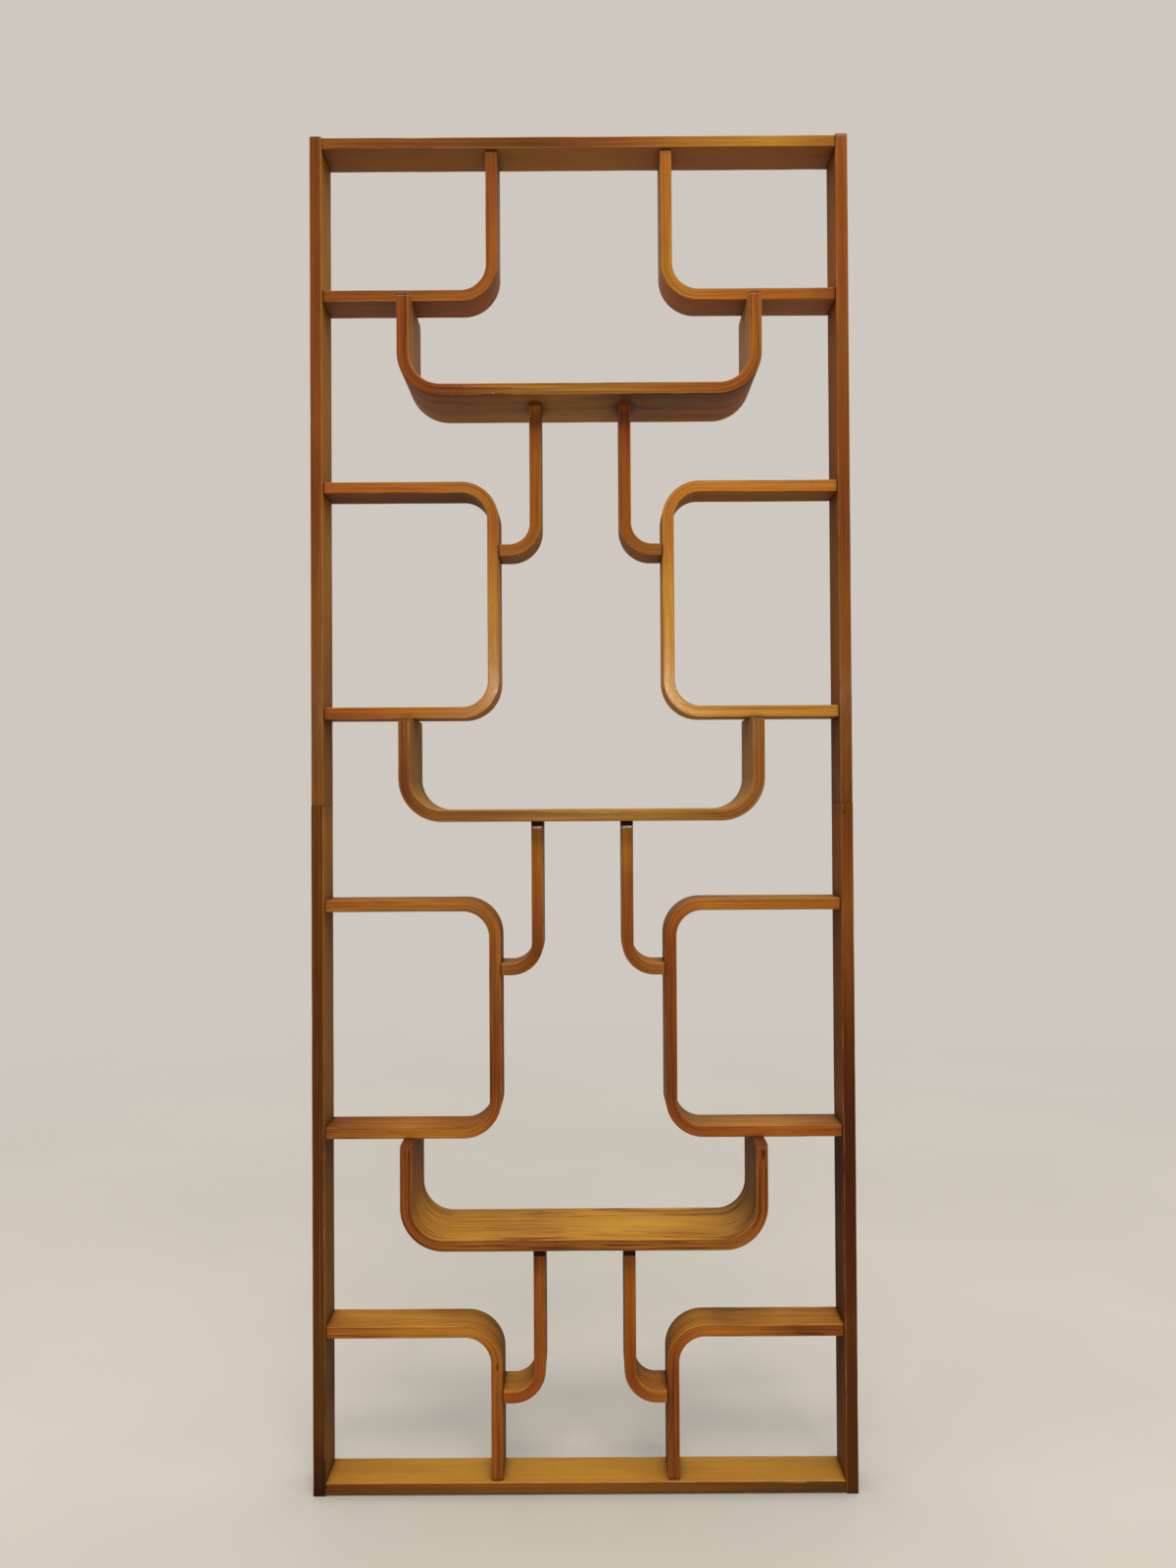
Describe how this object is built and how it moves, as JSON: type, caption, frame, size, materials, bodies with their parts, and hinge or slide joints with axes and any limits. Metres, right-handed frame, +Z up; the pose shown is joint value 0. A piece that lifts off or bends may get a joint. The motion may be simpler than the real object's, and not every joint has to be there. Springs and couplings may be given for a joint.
{
  "type": "room divider",
  "caption": "Tall free-standing open room divider: a slim wooden frame filled with bent plywood loops, hooks and U-shaped trays for display.",
  "frame": {"origin": "on the floor, in the middle of the width and of the depth", "axes": "+X to the right seen from the front, +Y from the front to the back, +Z up"},
  "size_m": [0.857, 0.156, 2.15],
  "materials": {
    "side_boards": "semi-gloss lacquer over reddish brown laminated wood",
    "rails": "semi-gloss lacquer over honey brown laminated wood",
    "bent_boards": "semi-gloss lacquer over honey brown bent laminated wood",
    "trays": "semi-gloss lacquer over honey brown bent laminated wood",
    "hooks": "semi-gloss lacquer over reddish brown bent laminated wood",
    "spacers": "matt black",
    "screws": "dull zinc plated steel",
    "dowels": "raw beech"
  },
  "bodies": {
    "root": {"arm_dowels": "dowels", "bottom_left_hook": "hooks", "bottom_left_spacer": "spacers", "bottom_rail": "rails", "bottom_right_hook": "hooks", "bottom_right_spacer": "spacers", "bottom_tray": "trays", "hook_dowels": "dowels", "hook_screws": "screws", "left_lower_bracket": "bent_boards", "left_lower_loop": "bent_boards", "left_lower_side": "side_boards", "left_side_screws": "screws", "left_upper_bracket": "bent_boards", "left_upper_loop": "bent_boards", "left_upper_side": "side_boards", "middle_left_hook": "hooks", "middle_left_spacer": "spacers", "middle_right_hook": "hooks", "middle_right_spacer": "spacers", "middle_tray": "trays", "rail_screws": "screws", "right_lower_bracket": "bent_boards", "right_lower_loop": "bent_boards", "right_lower_side": "side_boards", "right_side_screws": "screws", "right_upper_bracket": "bent_boards", "right_upper_loop": "bent_boards", "right_upper_side": "side_boards", "side_tongues": "dowels", "top_left_hook": "hooks", "top_left_spacer": "spacers", "top_rail": "rails", "top_right_hook": "hooks", "top_right_spacer": "spacers", "top_tray": "trays"}
  },
  "joints": []
}
